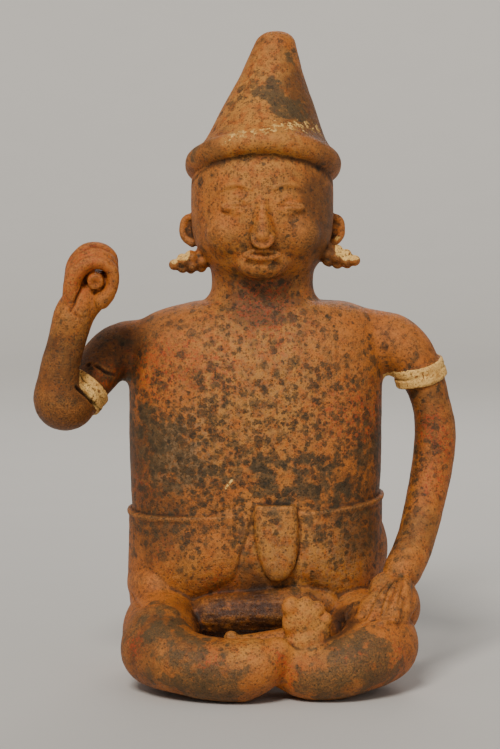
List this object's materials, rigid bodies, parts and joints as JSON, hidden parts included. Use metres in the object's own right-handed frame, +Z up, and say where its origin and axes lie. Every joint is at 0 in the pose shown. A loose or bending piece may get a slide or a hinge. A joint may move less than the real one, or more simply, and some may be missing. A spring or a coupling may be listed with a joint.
{
  "type": "musician figurine",
  "caption": "Seated cross-legged clay figure in a tall pointed hat, one fist raised round a broken beater and the other hand on the knee; stands on a shelf as an ornament.",
  "frame": {"origin": "on the flat underside of the figure, below the middle of the trunk", "axes": "+Z up through the hat; the figure faces -Y; +X is on the viewer's right, the side of the hand that rests on the knee"},
  "size_m": [0.2717, 0.1699, 0.4199],
  "materials": {
    "burnished_clay": "burnished red-brown slip over fired clay, worn and mottled with dark deposits"
  },
  "bodies": {
    "root": {"figurine": "burnished_clay"}
  },
  "joints": []
}
